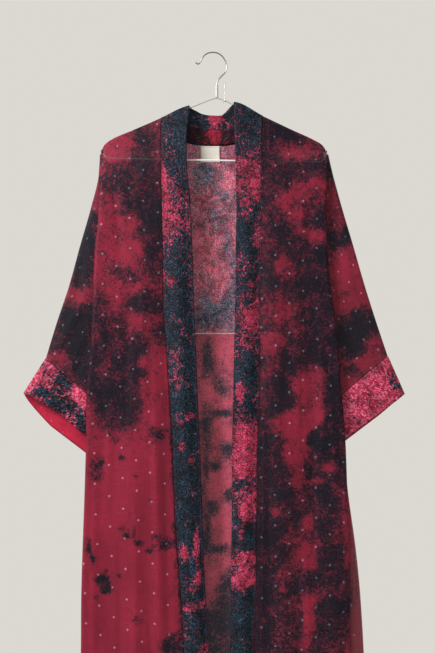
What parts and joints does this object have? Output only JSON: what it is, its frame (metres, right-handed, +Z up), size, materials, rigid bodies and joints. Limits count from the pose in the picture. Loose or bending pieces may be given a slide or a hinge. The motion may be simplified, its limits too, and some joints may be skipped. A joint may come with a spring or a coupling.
{
  "type": "kimono on a wire hanger",
  "caption": "Long open-fronted kimono robe with wide sleeves, deep cuffs and a full-length neckband, hanging flat on a wire hanger.",
  "frame": {"origin": "inner top of the hanger's hook, where a rail carries it", "axes": "+Z up, +X to the viewer's right, the fronts face -Y"},
  "size_m": [0.7059, 0.0526, 1.3456],
  "materials": {
    "main_cloth": "thin dip-dyed silk, crimson and navy with small pale dots",
    "yoke_cloth": "wrong side of a figured silk, dusty pink and slate",
    "band_brocade": "figured silk, teal navy and pink, soft sheen",
    "cuff_brocade": "figured silk, pink with teal clouds, soft sheen",
    "label_cloth": "plain woven label",
    "grey_wire": "bare drawn wire",
    "white_wire": "white coated wire"
  },
  "bodies": {
    "root": {"front_left": "main_cloth", "front_right": "main_cloth", "back_yoke": "yoke_cloth", "back_lower": "main_cloth", "band_left": "band_brocade", "band_right": "band_brocade", "band_neck": "band_brocade", "neck_facing": "main_cloth", "neck_label": "label_cloth", "sleeve_left": "main_cloth", "sleeve_right": "main_cloth", "cuff_left": "cuff_brocade", "cuff_right": "cuff_brocade", "hanger_hook": "grey_wire", "hanger_neck": "white_wire", "hanger_frame": "white_wire", "hanger_tail": "grey_wire"}
  },
  "joints": []
}
